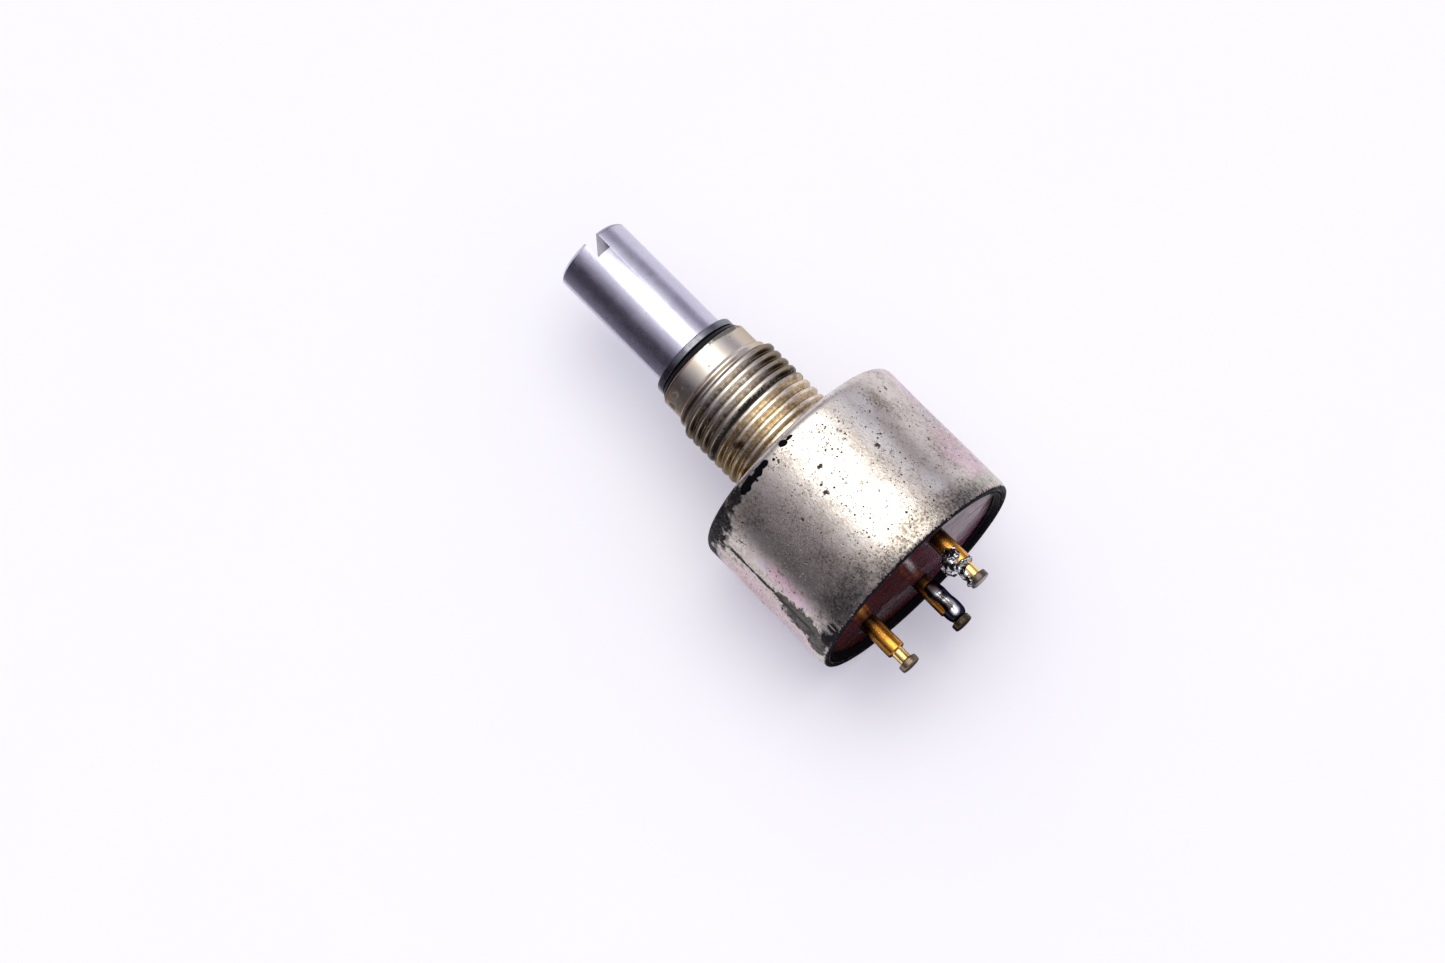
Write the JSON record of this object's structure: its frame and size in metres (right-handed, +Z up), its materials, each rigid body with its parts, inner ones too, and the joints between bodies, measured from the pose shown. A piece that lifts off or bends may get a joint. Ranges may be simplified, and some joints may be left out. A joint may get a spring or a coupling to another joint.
{
  "type": "panel potentiometer",
  "caption": "Sealed round panel potentiometer with a threaded bushing, a slotted turning shaft, a metal can and turret terminals on a moulded rear plate.",
  "frame": {"origin": "on the shaft's axis, in the plane of the can's front face, which seats on the panel", "axes": "+X along the shaft, out of the panel towards the slotted tip; +Z up with the can lying on its side"},
  "size_m": [0.04, 0.019, 0.019],
  "materials": {
    "plated_steel": "satin plating, pitted with age",
    "nickel_brass": "nickel plating worn through to brass",
    "shaft_steel": "ground bright",
    "spring_steel": "dull grey",
    "black_rubber": "matte",
    "red_phenolic": "glossy moulding",
    "brown_phenolic": "dull moulding",
    "liner_fibre": "pressed fibre",
    "gold_plate": "gold-plated brass",
    "spring_bronze": "bright strip",
    "silver_plate": "silver-plated brass",
    "moulded_carbon": "dull moulded carbon",
    "old_solder": "dull lumps with bright spots"
  },
  "bodies": {
    "housing": {"housing_can": "plated_steel", "threaded_bushing": "nickel_brass", "stop_pin": "spring_steel", "shaft_seal": "black_rubber", "liner_sleeve": "liner_fibre", "terminal_plate": "red_phenolic", "plate_seal": "black_rubber", "resistance_track": "moulded_carbon", "collector_ring": "silver_plate", "end_contact_a": "silver_plate", "end_contact_b": "silver_plate", "wiper_terminal": "gold_plate", "end_terminal_a": "gold_plate", "end_terminal_b": "gold_plate", "wiper_solder": "old_solder", "end_solder": "old_solder"},
    "rotor": {"shaft": "shaft_steel", "retaining_ring": "spring_steel", "shaft_o_ring": "black_rubber", "thrust_washer": "spring_bronze", "contact_carrier": "brown_phenolic", "carrier_clip": "spring_steel", "wiper_spring": "spring_bronze", "carrier_rivet_a": "spring_bronze", "carrier_rivet_b": "spring_bronze", "track_brush": "moulded_carbon", "collector_brush": "moulded_carbon"}
  },
  "joints": [
    {"name": "shaft_turn", "type": "hinge", "parent": "housing", "child": "rotor", "pos_m": [0, 0, 0], "axis": [1, 0, 0], "range_deg": [-122.5, 172.5]}
  ]
}
